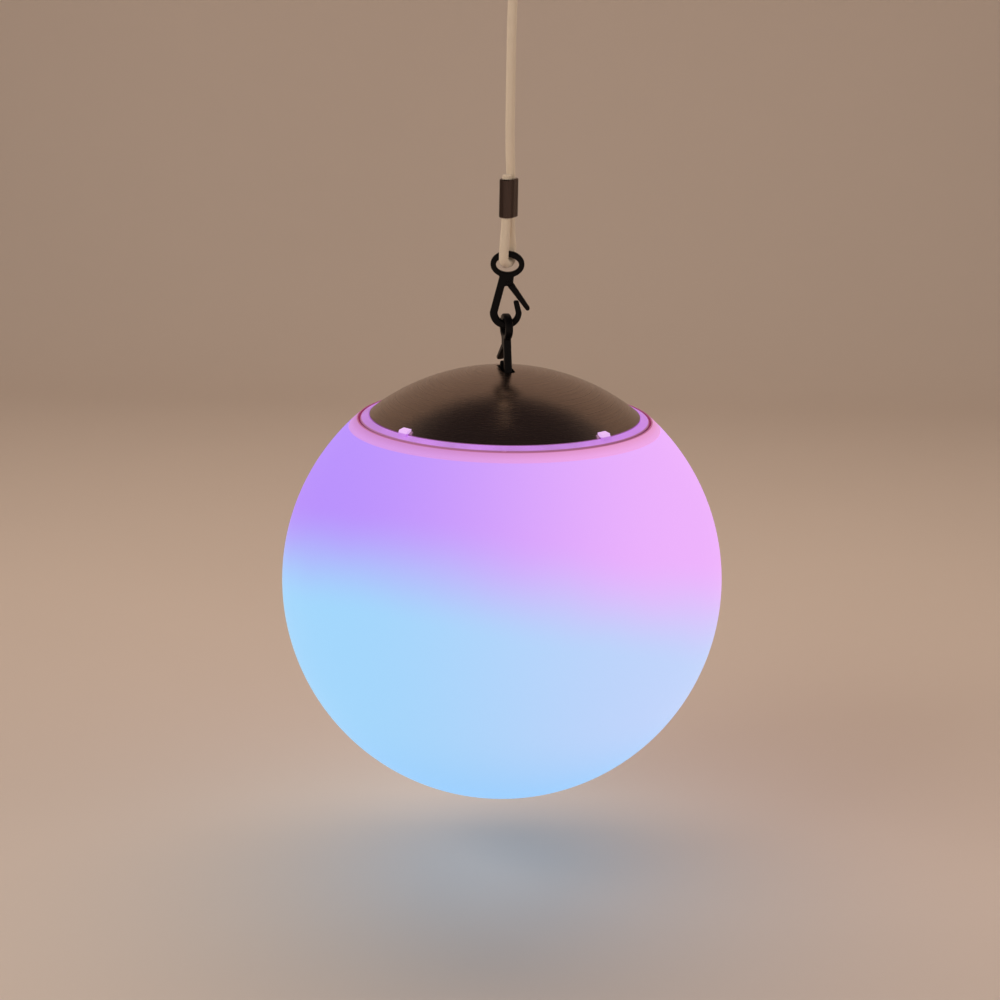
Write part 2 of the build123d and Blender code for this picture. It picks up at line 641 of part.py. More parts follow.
with BuildPart() as battery_straps:
    strap_plane = Plane(origin=(0, 0, GLOBE_Z + CELL_Z), x_dir=(0, 1, 0), z_dir=(1, 0, 0))
    with BuildSketch(strap_plane):
        with Locations((CELL_Y, 0), (-CELL_Y, 0)):
            Circle(CELL_R + 0.9)
            Circle(CELL_R + 0.1, mode=Mode.SUBTRACT)
    extrude(amount=5, both=True)
save(battery_straps.part, "battery_straps")

with BuildPart() as power_button:
    with BuildSketch(level(FLOOR_Z - 2.0)):
        with Locations((BUTTON_X, 0)):
            Circle(BUTTON_R)
    extrude(amount=FLOOR_THICK + 2.0)
    with BuildSketch(level(FLOOR_Z + FLOOR_THICK + 0.3)):
        with Locations((BUTTON_X, 0)):
            Circle(BUTTON_R + 1.2)
    extrude(amount=1.2)
    with BuildSketch(level(FLOOR_Z + FLOOR_THICK - 0.5)):
        with Locations((BUTTON_X, 0)):
            Circle(BUTTON_R)
    extrude(amount=1.0)
    fillet(power_button.faces().sort_by(Axis.Z)[0].edges(), 0.8)
save(power_button.part, "power_button")
with BuildPart() as button_switch:
    with BuildSketch(level(SWITCH_BOARD_Z)):
        with Locations((BUTTON_X, 0)):
            Rectangle(12, 12)
    extrude(amount=-4)
    with BuildSketch(level(SWITCH_BOARD_Z - 4)):
        with Locations((BUTTON_X, 0)):
            Circle(3)
    extrude(amount=4 - SWITCH_HIGH)
save(button_switch.part, "button_switch")
with BuildPart() as switch_board:
    with BuildSketch(level(SWITCH_BOARD_Z)):
        with Locations((BUTTON_X, 0)):
            RectangleRounded(15, 27, 2)
    extrude(amount=BOARD_THICK)
save(switch_board.part, "switch_board")

with BuildPart() as charge_socket:
    with BuildSketch(level(FLOOR_Z + 0.8)):
        with Locations((PORT_X, 0)):
            Circle(PORT_R)
            Circle(PORT_R - 1.2, mode=Mode.SUBTRACT)
    extrude(amount=12)
    with BuildSketch(level(FLOOR_Z + FLOOR_THICK)):
        with Locations((PORT_X, 0)):
            Circle(PORT_R + 2.5)
            Circle(PORT_R - 1.2, mode=Mode.SUBTRACT)
    extrude(amount=2)
    with BuildSketch(level(FLOOR_Z + 12.8)):
        with Locations((PORT_X, 0)):
            Circle(PORT_R)
    extrude(amount=1.5)
save(charge_socket.part, "charge_socket")
with BuildPart() as charge_plug:
    with BuildSketch(level(FLOOR_Z)):
        with Locations((PORT_X, 0)):
            Circle(PORT_R + 3)
    extrude(amount=-2)
    with BuildSketch(level(FLOOR_Z)):
        with Locations((PORT_X, 0)):
            Circle(PORT_R - 1.4)
    extrude(amount=6)
    fillet(charge_plug.faces().sort_by(Axis.Z)[0].edges(), 0.8)
save(charge_plug.part, "charge_plug")


def wire(points):
    """One insulated lead along straight runs with rounded corners."""
    with BuildPart() as lead:
        with BuildLine() as run:
            FilletPolyline(*[(x, y, GLOBE_Z + z) for x, y, z in points], radius=3)
        path = run.wires()[0]
        with BuildSketch(Plane(origin=path @ 0, z_dir=path % 0)):
            Circle(0.9)
        sweep(path=path)
    return lead.part


save(
    Compound(
        children=[
            wire([(36.5, CELL_Y, CELL_Z), (40, CELL_Y, CELL_Z), (40, 20, CELL_Z + 7), (22, 8, CELL_Z + 7), (22, 5, CELL_Z + 2)]),
            wire([(-36.5, -CELL_Y, CELL_Z), (-40, -CELL_Y, CELL_Z), (-40, -20, CELL_Z + 7), (-22, -8, CELL_Z + 7), (-22, -6, CELL_Z + 2)]),
            wire([(BUTTON_X, 3, 94.8), (BUTTON_X, 3, 99), (30, 3, 99), (23, 0, 96)]),
            wire([(PORT_X, 0, 95.4), (PORT_X, 0, 99), (-32, 0, 99), (-23, -8, 96)]),
        ]
    ),
    "wiring",
)
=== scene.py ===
"""A hanging, floating globe light: milky lit globe, steel-domed light unit, snap hooks and a looped cord."""

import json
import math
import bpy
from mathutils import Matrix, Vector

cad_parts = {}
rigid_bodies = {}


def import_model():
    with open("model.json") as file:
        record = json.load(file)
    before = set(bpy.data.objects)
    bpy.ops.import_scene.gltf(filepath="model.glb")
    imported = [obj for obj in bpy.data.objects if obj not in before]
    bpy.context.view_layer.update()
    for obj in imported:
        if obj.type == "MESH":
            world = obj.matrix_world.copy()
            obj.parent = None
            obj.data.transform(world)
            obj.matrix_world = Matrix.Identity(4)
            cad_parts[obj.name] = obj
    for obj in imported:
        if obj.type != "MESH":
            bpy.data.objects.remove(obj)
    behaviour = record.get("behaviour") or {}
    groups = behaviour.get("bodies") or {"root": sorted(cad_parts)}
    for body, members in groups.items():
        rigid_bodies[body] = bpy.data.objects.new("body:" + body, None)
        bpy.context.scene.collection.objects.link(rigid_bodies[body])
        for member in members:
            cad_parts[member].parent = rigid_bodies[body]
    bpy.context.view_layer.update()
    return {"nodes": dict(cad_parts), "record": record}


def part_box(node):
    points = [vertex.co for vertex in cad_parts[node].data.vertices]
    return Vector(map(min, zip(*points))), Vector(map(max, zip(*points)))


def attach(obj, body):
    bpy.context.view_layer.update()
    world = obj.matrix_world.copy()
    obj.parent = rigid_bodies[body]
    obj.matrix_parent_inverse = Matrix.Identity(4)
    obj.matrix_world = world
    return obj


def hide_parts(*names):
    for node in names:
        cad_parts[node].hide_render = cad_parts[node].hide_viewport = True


bl_info = {
    "name": "Hanging Globe Light",
    "version": (1, 0, 0),
    "blender": (4, 5, 0),
    "location": "3D View > Sidebar > Globe Light",
    "description": "Builds a hanging, floating globe light around its measured frame",
    "category": "Add Mesh",
}

import bmesh
import bpy
from bpy.props import FloatProperty, FloatVectorProperty, PointerProperty
from mathutils import Matrix, Vector

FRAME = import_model()
MM = 0.001

# Sizes in millimetres, and turns about the hanging axis.
GLOBE_R = 150.0
MOUTH_R = 105.0
DOME_R, DOME_INNER_R, DOME_FOOT_R, DOME_INNER_FOOT_R = 147.0, 146.2, 91.0, 89.85
SLOT_HALF_LONG, SLOT_HALF_WIDE, SLOT_CORNER = 14.0, 4.0, 3.0
SLOT_EDGE = 0.25
LEG_R, LOOP_R, LOOP_SIDE = 3.35, 6.6, 6.95
LOOP_FROM_FERRULE, CORD_LONG = 24.0, 383.6
COLLAR_BORE_R, CATCH_R, CATCH_Z, CATCH_TOP_Z = 92.0, 87.4, 97.5, 101.0
HOOK_TURN = math.radians(102)
LOOP_TURN = math.radians(68)

TURN_STEPS = 256
CAMERA_SENSOR = 36
FLOOR_BELOW = 55.0
# Painted shade: the dark colour laid where the gap between the lit ring and the collar falls in shade.
SHADOW_GAP = (0.24, 0.018, 0.075)
GLOBE_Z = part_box("globe_shell")[0].z + GLOBE_R * MM


def level(height_mm):
    """The z of a height above the middle of the globe."""
    return GLOBE_Z + height_mm * MM


def on_sphere(sphere_mm, r_mm):
    """Height of a sphere about the globe's middle at a distance from the axis."""
    return math.sqrt(sphere_mm**2 - r_mm**2)


# ---- settings ------------------------------------------------------------------------------------
class GlobeSettings(bpy.types.PropertyGroup):
    """The lit globe and its collar."""

    wall: FloatProperty(name="Wall", description="Thickness of the globe", default=2.5 * MM, unit="LENGTH")
    glow: FloatProperty(name="Glow", description="Brightness of the lit globe", default=0.93, min=0.0)
    upper_left: FloatVectorProperty(
        name="Upper left",
        description="Colour of the upper glow, left",
        subtype="COLOR",
        default=(0.44, 0.235, 0.98),
    )
    upper_right: FloatVectorProperty(
        name="Upper right",
        description="Colour of the upper glow, right",
        subtype="COLOR",
        default=(0.84, 0.42, 0.99),
    )
    lower_left: FloatVectorProperty(
        name="Lower left",
        description="Colour of the lower glow, left",
        subtype="COLOR",
        default=(0.31, 0.66, 0.98),
    )
    lower_right: FloatVectorProperty(
        name="Lower right",
        description="Colour of the lower glow, right",
        subtype="COLOR",
        default=(0.50, 0.65, 0.98),
    )


class LightUnitSettings(bpy.types.PropertyGroup):
    """The steel dome, the ring round it and the light source."""

    dome_colour: FloatVectorProperty(
        name="Dome", description="Colour of the steel dome", subtype="COLOR", default=(0.52, 0.42, 0.37)
    )
    dome_roughness: FloatProperty(name="Dome roughness", description="Satin finish of the dome", default=0.24)
    ring_glow: FloatVectorProperty(
        name="Ring glow", description="Colour of the lit ring", subtype="COLOR", default=(0.52, 0.155, 0.80)
    )


class LineSettings(bpy.types.PropertyGroup):
    """The hanging line, its sleeves and the snap hooks."""

    cord_width: FloatProperty(
        name="Cord width", description="Diameter of the cord", default=6.2 * MM, unit="LENGTH"
    )
    cord_colour: FloatVectorProperty(
        name="Cord", description="Colour of the cord", subtype="COLOR", default=(0.80, 0.66, 0.50)
    )
    hook_colour: FloatVectorProperty(
        name="Hooks",
        description="Colour of the moulded hooks",
        subtype="COLOR",
        default=(0.004, 0.0035, 0.004),
    )


class StageSettings(bpy.types.PropertyGroup):
    """Camera, floor and lights."""

    lens: FloatProperty(name="Lens", description="Focal length in millimetres", default=82.15)
    distance: FloatProperty(
        name="Distance", description="Level distance to the globe", default=1.5, unit="LENGTH"
    )
    elevation: FloatProperty(
        name="Elevation", description="Camera height angle", default=math.radians(16.7), subtype="ANGLE"
    )
    tilt_up: FloatProperty(
        name="Tilt up",
        description="How far the camera aims above the globe",
        default=math.radians(1.965),
        subtype="ANGLE",
    )
    aside: FloatProperty(
        name="Aside",
        description="Turn of the camera to its left",
        default=math.radians(0.0854),
        subtype="ANGLE",
    )
    roll: FloatProperty(name="Roll", description="Camera roll", default=math.radians(1.0), subtype="ANGLE")


# ---- materials -----------------------------------------------------------------------------------
class Finish:
    """A procedural material around one Principled shader, with short ways to add its nodes."""

    def __init__(self, name, colour=(0.8, 0.8, 0.8), roughness=0.5, metallic=0.0, coat=0.0, **sockets):
        self.material = bpy.data.materials.new(name)
        self.material.use_nodes = True
        self.tree = self.material.node_tree
        self.shader = self.tree.nodes["Principled BSDF"]
        self.set("Base Color", (*colour, 1))
        self.set("Roughness", roughness)
        self.set("Metallic", metallic)
        self.set("Coat Weight", coat)
        for socket, value in sockets.items():
            self.set(socket.replace("_", " "), value)
        self.coords = self.tree.nodes.new("ShaderNodeTexCoord").outputs["Object"]

    def set(self, socket, value):
        self.shader.inputs[socket].default_value = value

    def node(self, kind, inputs=(), **options):
        made = self.tree.nodes.new("ShaderNode" + kind)
        for option, value in options.items():
            setattr(made, option, value)
        for socket, value in dict(inputs).items():
            if isinstance(value, bpy.types.NodeSocket):
                self.tree.links.new(value, made.inputs[socket])
            else:
                made.inputs[socket].default_value = value
        return made

    def link(self, output, socket):
        self.tree.links.new(output, self.shader.inputs[socket])

    def maths(self, operation, *values):
        return self.node("Math", dict(enumerate(values)), operation=operation).outputs[0]

    def axes(self, centre=(0, 0, 0), stretch=(1, 1, 1)):
        """Object coordinates about a centre, stretched."""
        moved = self.node("VectorMath", {0: self.coords, 1: centre}, operation="SUBTRACT").outputs[0]
        return self.node("Mapping", {"Vector": moved, "Scale": stretch}, vector_type="POINT").outputs[0]

    def globe_axes(self):
        """Object coordinates about the globe's middle, separated."""
        return self.node("SeparateXYZ", {0: self.axes((0, 0, GLOBE_Z))}).outputs

    def noise(self, scale, detail=3.0, vector=None):
        source = self.coords if vector is None else vector
        return self.node("TexNoise", {"Vector": source, "Scale": scale, "Detail": detail}).outputs["Fac"]

    def ramp(self, value, low, high, to_low=0.0, to_high=1.0):
        """A smooth step between two values."""
        inputs = {"Value": value, "From Min": low, "From Max": high, "To Min": to_low, "To Max": to_high}
        return self.node("MapRange", inputs, interpolation_type="SMOOTHSTEP").outputs["Result"]

    def mix(self, factor, first, second):
        """A colour between two, by a factor."""
        made = self.node("Mix", data_type="RGBA")
        for index, value in ((0, factor), (6, first), (7, second)):
            if isinstance(value, bpy.types.NodeSocket):
                self.tree.links.new(value, made.inputs[index])
            else:
                made.inputs[index].default_value = value if index == 0 else (*value[:3], 1)
        return made.outputs[2]

    def radius(self, where):
        """Distance from the hanging axis, from separated coordinates."""
        squares = [self.maths("POWER", where[i], 2.0) for i in (0, 1)]
        return self.maths("SQRT", self.maths("ADD", *squares))

    def bump(self, height, depth, strength=1.0):
        made = self.node("Bump", {"Height": height, "Distance": depth, "Strength": strength})
        self.link(made.outputs[0], "Normal")

    def mottle(self, colour, change=0.15, scale=60.0, grain=900.0, depth=0.02 * MM, roughness=None):
        """Colour and gloss that vary softly over the surface, and a fine grain."""
        cloud = self.noise(scale, 4.0)
        darker = tuple(c * (1 - change) for c in colour)
        self.link(self.mix(cloud, darker, colour), "Base Color")
        if roughness:
            self.link(self.ramp(cloud, 0.3, 0.7, roughness * 0.85, roughness * 1.15), "Roughness")
        self.bump(self.noise(grain, 2.0), depth)
        return self


def globe_finish(settings):
    """Milky plastic lit from inside: violet to pink above, blue below, along a boundary that leans."""
    made = Finish("lit_globe", (0.10, 0.10, 0.12), 0.5, coat=0.04, Coat_Roughness=0.25)
    made.set("Specular IOR Level", 0.2)
    where = made.globe_axes()
    across = made.ramp(where[0], -0.125, 0.125)
    upper = made.mix(across, settings.upper_left, settings.upper_right)
    lower = made.mix(across, settings.lower_left, settings.lower_right)
    drift = made.maths("MULTIPLY", made.maths("SUBTRACT", made.noise(9.0, 2.0), 0.5), 0.02)
    slopes = [made.maths("MULTIPLY", axis, slope) for axis, slope in zip(where, (0.1455, 0.2865))]
    lean = made.maths("ADD", *slopes)
    height = made.maths("ADD", where[2], made.maths("ADD", lean, drift))
    glow = made.mix(made.ramp(height, -0.040, 0.034), lower, upper)
    foot = made.ramp(where[2], -0.155, -0.06)
    glow = made.mix(foot, (0.27, 0.60, 1.0), glow)
    made.link(glow, "Emission Color")
    made.set("Emission Strength", settings.glow)
    made.bump(made.noise(1400.0, 2.0), 0.004 * MM)
    return made.material


def ring_finish(settings):
    """Translucent ring that carries some of the light, on a pale moulding."""
    made = Finish("lit_ring", (0.34, 0.22, 0.42), 0.34, coat=0.2)
    where = made.globe_axes()
    cloud = made.noise(35.0, 3.0)
    dim = tuple(c * 0.72 for c in settings.ring_glow)
    glow = made.mix(made.ramp(cloud, 0.35, 0.65), dim, settings.ring_glow)
    # Painted highlight: the clip tops, above 115.8 mm, glow brighter and whiter than the ring round them.
    clips = made.ramp(where[2], 0.1158, 0.1166)
    glow = made.mix(clips, glow, (0.86, 0.52, 1.0))
    # Painted shade: the ring's outer edge, beyond about 96.2 mm from the axis, takes the dark gap colour.
    gap_shade = made.ramp(made.radius(where), 0.0962, 0.0967)
    glow = made.mix(gap_shade, glow, SHADOW_GAP)
    upper = made.ramp(where[2], 0.1120, 0.1128)
    made.link(made.mix(upper, (0.04, 0.008, 0.02), glow), "Emission Color")
    made.set("Emission Strength", 0.72)
    made.bump(made.noise(1200.0, 2.0), 0.01 * MM)
    return made.material


def collar_finish():
    """Frosted collar, less lit than the globe, pinker towards its outer edge."""
    made = Finish("frosted_collar", (0.40, 0.20, 0.36), 0.42, coat=0.15)
    where = made.globe_axes()
    outer = made.ramp(where[2], 0.1075, 0.113)
    across = made.ramp(where[0], -0.09, 0.09)
    low = made.mix(across, (0.55, 0.26, 0.80), (0.84, 0.38, 0.86))
    high = made.mix(across, (0.42, 0.15, 0.52), (0.70, 0.26, 0.56))
    wide = made.radius(where)
    glow = made.mix(outer, low, high)
    # Painted shade: the collar's inner lip, within about 99.2 mm of the axis, takes the dark gap colour.
    made.link(made.mix(made.ramp(wide, 0.0992, 0.0997), SHADOW_GAP, glow), "Emission Color")
    made.set("Emission Strength", 0.74)
    made.bump(made.noise(1500.0, 3.0), 0.012 * MM)
    return made.material


def dome_finish(settings):
    """Satin steel, spun about the axis: fine rings in the bump and in the gloss."""
    made = Finish("spun_steel", settings.dome_colour, settings.dome_roughness, metallic=1.0)
    where = made.globe_axes()
    rings = made.noise(2600.0, 2.0, made.node("CombineXYZ", {0: made.radius(where)}).outputs[0])
    cloud = made.noise(24.0, 4.0)
    darker = tuple(c * 0.86 for c in settings.dome_colour)
    made.link(made.mix(cloud, darker, settings.dome_colour), "Base Color")
    satin = settings.dome_roughness
    made.link(made.ramp(rings, 0.3, 0.7, satin * 0.8, satin * 1.25), "Roughness")
    made.bump(rings, 0.002 * MM, 0.6)
    return made.material


def ferrule_finish():
    """Dark bright plate, drawn lengthways."""
    made = Finish("crimped_sleeve", (0.14, 0.10, 0.09), 0.22, metallic=1.0)
    streaks = made.noise(260.0, 3.0, made.axes(stretch=(1, 1, 0.02)))
    made.link(made.mix(streaks, (0.05, 0.035, 0.03), (0.20, 0.14, 0.12)), "Base Color")
    made.link(made.ramp(streaks, 0.3, 0.7, 0.16, 0.34), "Roughness")
    made.bump(streaks, 0.05 * MM, 0.5)
    return made.material


def cord_finish(settings):
    """Off-white cord with a fine braid that crosses both ways."""
    made = Finish("braided_cord", settings.cord_colour, 0.72)
    made.set("Sheen Weight", 0.25)
    darker = tuple(c * 0.88 for c in settings.cord_colour)
    uneven = made.mix(made.noise(120.0, 4.0), darker, settings.cord_colour)
    bands = []
    for lean in (1, -1):
        inputs = {"Vector": made.axes(stretch=(lean, lean * 0.7, 0.9)), "Scale": 420.0, "Distortion": 1.5}
        bands.append(made.node("TexWave", inputs, bands_direction="DIAGONAL").outputs["Fac"])
    braid = made.maths("MAXIMUM", *bands)
    made.link(made.mix(braid, darker, uneven), "Base Color")
    made.bump(braid, 0.04 * MM, 0.4)
    return made.material


def plain_finishes(settings):
    """Finishes of the hooks and of the pieces inside, by the record's slot."""
    kinds = {
        "hook_plastic": (settings.hook_colour, 0.42, 0.0, 0.0),
        "hanger_steel": ((0.18, 0.18, 0.18), 0.34, 1.0, 0.0),
        "fastener_steel": ((0.55, 0.55, 0.56), 0.25, 1.0, 0.0),
        "inner_plastic": ((0.66, 0.66, 0.68), 0.45, 0.0, 0.1),
        "seal_rubber": ((0.02, 0.02, 0.02), 0.65, 0.0, 0.0),
        "board": ((0.02, 0.13, 0.05), 0.40, 0.0, 0.4),
        "component": ((0.02, 0.02, 0.022), 0.45, 0.0, 0.1),
        "cell_wrap": ((0.02, 0.09, 0.32), 0.30, 0.0, 0.5),
        "wire_sleeve": ((0.35, 0.015, 0.01), 0.35, 0.0, 0.2),
    }
    made = {}
    for name, (colour, roughness, metallic, coat) in kinds.items():
        finish = Finish(name, colour, roughness, metallic, coat)
        if name == "hook_plastic":
            finish.set("Specular IOR Level", 0.15)
        made[name] = finish.mottle(colour, 0.25, 80.0, 1100.0, 0.02 * MM, roughness).material
    chip = Finish("led_phosphor", (0.9, 0.85, 0.6), 0.3)
    chip.set("Emission Color", (0.9, 0.55, 1.0, 1))
    chip.set("Emission Strength", 3.0)
    made["chip"] = chip.mottle((0.9, 0.85, 0.6), 0.1, 400.0, 900.0, 0.01 * MM, 0.3).material
    opal = Finish("opal_lens", (0.85, 0.80, 0.95), 0.35, coat=0.4)
    opal.set("Emission Color", (0.7, 0.42, 1.0, 1))
    opal.set("Emission Strength", 0.9)
    made["lens_opal"] = opal.mottle((0.85, 0.80, 0.95), 0.06, 60.0, 900.0, 0.01 * MM, 0.35).material
    return made


# ---- mesh helpers --------------------------------------------------------------------------------
def finished(name, mesh, material, body, node_names=()):
    """Links a mesh as a piece that rides on a body, stands for CAD nodes and takes a slot."""
    mesh.materials.clear()
    mesh.materials.append(material)
    mesh.shade_smooth()
    mesh.set_sharp_from_angle(angle=math.radians(32))
    piece = bpy.data.objects.new(name, mesh)
    bpy.context.scene.collection.objects.link(piece)
    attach(piece, body)
    if node_names:
        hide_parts(*node_names)
    return piece


def paint(node_name, material):
    """Gives a CAD node its finish."""
    for each in FRAME["nodes"][node_name].material_slots:
        each.material = material


def mesh_of_rows(name, rows, closed=False):
    """A skin over rows of points. A row of one point is a pole; closed joins the last row to the first."""
    points, starts = [], []
    for row in rows:
        starts.append(len(points))
        points.extend(row)
    faces = []
    pairs = list(zip(range(len(rows)), range(1, len(rows)))) + ([(len(rows) - 1, 0)] if closed else [])
    for a, b in pairs:
        count = max(len(rows[a]), len(rows[b]))
        for i in range(count):
            j = (i + 1) % count
            corners = []
            for row, order in ((a, (i, j)), (b, (j, i))):
                corners += [starts[row] + (k if len(rows[row]) > 1 else 0) for k in order]
            faces.append(list(dict.fromkeys(corners)))
    mesh = bpy.data.meshes.new(name)
    mesh.from_pydata(points, [], faces)
    shape = bmesh.new()
    shape.from_mesh(mesh)
    bmesh.ops.recalc_face_normals(shape, faces=shape.faces)
    shape.to_mesh(mesh)
    shape.free()
    return mesh


def circle_angles(steps):
    return [2 * math.pi * i / steps for i in range(steps)]


def turned_rows(profile, steps=TURN_STEPS, height=level):
    """Rows for a profile of (radius, height) in millimetres, turned about the axis."""
    rows = []
    for r, z in profile:
        angles = circle_angles(steps) if r > 0 else [0.0]
        rows.append([(r * MM * math.cos(a), r * MM * math.sin(a), height(z)) for a in angles])
    return rows


def sphere_profile(sphere_mm, start_mm, end_mm, steps):
    """Profile points on a sphere from one radius to another, evenly spaced in angle, above the middle."""
    first, last = math.asin(start_mm / sphere_mm), math.asin(end_mm / sphere_mm)
    angles = [first + (last - first) * i / steps for i in range(steps + 1)]
    return [(sphere_mm * math.sin(a), sphere_mm * math.cos(a)) for a in angles]


def join_meshes(name, meshes):
    """One mesh that holds them all."""
    shape = bmesh.new()
    for mesh in meshes:
        shape.from_mesh(mesh)
    joined = bpy.data.meshes.new(name)
    shape.to_mesh(joined)
    shape.free()
    return joined


def rounded_slot_radius(angle, half_long, half_wide, corner):
    """How far a rounded rectangle reaches in a direction."""
    low, high = 0.0, half_long * 1.5
    for _ in range(40):
        middle = (low + high) / 2
        x, y = abs(middle * math.cos(angle)), abs(middle * math.sin(angle))
        out = Vector((max(x - half_long + corner, 0), max(y - half_wide + corner, 0))).length - corner
        inner = max(x - half_long, y - half_wide)
        low, high = (middle, high) if out < 0 and inner < 0 else (low, middle)
    return low


# ---- geometry nodes: pieces in a ring ------------------------------------------------------------
def ring_tree():
    """A tree that repeats a small piece round the hanging axis."""
    tree = bpy.data.node_groups.get("pieces_in_a_ring")
    if tree:
        return tree
    tree = bpy.data.node_groups.new("pieces_in_a_ring", "GeometryNodeTree")
    sockets = (
        ("Piece", "NodeSocketObject"),
        ("Count", "NodeSocketInt"),
        ("Radius", "NodeSocketFloat"),
        ("Height", "NodeSocketFloat"),
        ("First angle", "NodeSocketFloat"),
        ("Finish", "NodeSocketMaterial"),
    )
    for label, kind in sockets:
        tree.interface.new_socket(label, in_out="INPUT", socket_type=kind)
    tree.interface.new_socket("Geometry", in_out="OUTPUT", socket_type="NodeSocketGeometry")
    new, link = tree.nodes.new, tree.links.new
    group_in, group_out = new("NodeGroupInput"), new("NodeGroupOutput")
    circle, info = new("GeometryNodeMeshCircle"), new("GeometryNodeObjectInfo")
    link(group_in.outputs["Piece"], info.inputs["Object"])
    link(group_in.outputs["Count"], circle.inputs["Vertices"])
    link(group_in.outputs["Radius"], circle.inputs["Radius"])
    index, step, facing = new("GeometryNodeInputIndex"), new("ShaderNodeMath"), new("ShaderNodeMath")
    step.operation, facing.operation = "DIVIDE", "MULTIPLY"
    step.inputs[0].default_value = 2 * math.pi
    link(group_in.outputs["Count"], step.inputs[1])
    link(index.outputs[0], facing.inputs[0])
    link(step.outputs[0], facing.inputs[1])
    spin, place = new("ShaderNodeCombineXYZ"), new("GeometryNodeInstanceOnPoints")
    link(facing.outputs[0], spin.inputs[2])
    link(circle.outputs["Mesh"], place.inputs["Points"])
    link(info.outputs["Geometry"], place.inputs["Instance"])
    link(spin.outputs[0], place.inputs["Rotation"])
    lift, turn, whole = new("ShaderNodeCombineXYZ"), new("ShaderNodeCombineXYZ"), new("GeometryNodeTransform")
    link(group_in.outputs["Height"], lift.inputs[2])
    link(group_in.outputs["First angle"], turn.inputs[2])
    link(place.outputs[0], whole.inputs["Geometry"])
    link(lift.outputs[0], whole.inputs["Translation"])
    link(turn.outputs[0], whole.inputs["Rotation"])
    real, finish = new("GeometryNodeRealizeInstances"), new("GeometryNodeSetMaterial")
    link(whole.outputs[0], real.inputs[0])
    link(real.outputs[0], finish.inputs["Geometry"])
    link(group_in.outputs["Finish"], finish.inputs["Material"])
    link(finish.outputs[0], group_out.inputs[0])
    return tree


def ring_of(piece_mesh, count, radius_mm, z, first_angle, material):
    """The plain mesh of a ring of pieces."""
    scene = bpy.context.scene.collection.objects
    sample = bpy.data.objects.new("sample", piece_mesh)
    holder = bpy.data.objects.new("holder", bpy.data.meshes.new("holder"))
    for each in (sample, holder):
        scene.link(each)
    modifier = holder.modifiers.new("ring", "NODES")
    modifier.node_group = ring_tree()
    values = {
        "Piece": sample,
        "Count": count,
        "Radius": radius_mm * MM,
        "Height": z,
        "First angle": first_angle,
        "Finish": material,
    }
    for item in modifier.node_group.interface.items_tree:
        if item.in_out == "INPUT":
            modifier[item.identifier] = values[item.name]
    graph = bpy.context.evaluated_depsgraph_get()
    mesh = bpy.data.meshes.new_from_object(holder.evaluated_get(graph))
    holder.modifiers.clear()
    for each in (sample, holder):
        bpy.data.objects.remove(each)
    return mesh


def small_screw(head_r, head_high, shank_r, shank_long, upside_down=False):
    """A pan-head screw with a round recess, standing on its head's underside."""
    steps, sign = 24, -1 if upside_down else 1
    profile = [
        (0, -shank_long),
        (shank_r * 0.7, -shank_long),
        (shank_r, -shank_long + 0.6),
        (shank_r, 0),
        (head_r, 0),
        (head_r, head_high * 0.45),
        (head_r * 0.86, head_high * 0.85),
        (head_r * 0.62, head_high),
        (head_r * 0.42, head_high),
        (head_r * 0.40, head_high * 0.45),
        (0, head_high * 0.45),
    ]
    return mesh_of_rows("small_screw", turned_rows(profile, steps, lambda z: sign * z * MM))


def soft_block(name, size_mm, edge_mm):
    """A block with rounded edges, standing on its underside."""
    shape = bmesh.new()
    bmesh.ops.create_cube(shape, size=1.0)
    bmesh.ops.scale(shape, vec=Vector(size_mm) * MM, verts=shape.verts)
    bmesh.ops.translate(shape, vec=(0, 0, size_mm[2] * MM / 2), verts=shape.verts)
    bmesh.ops.bevel(shape, geom=shape.edges, offset=edge_mm * MM, segments=3, affect="EDGES")
    mesh = bpy.data.meshes.new(name)
    shape.to_mesh(mesh)
    shape.free()
    return mesh


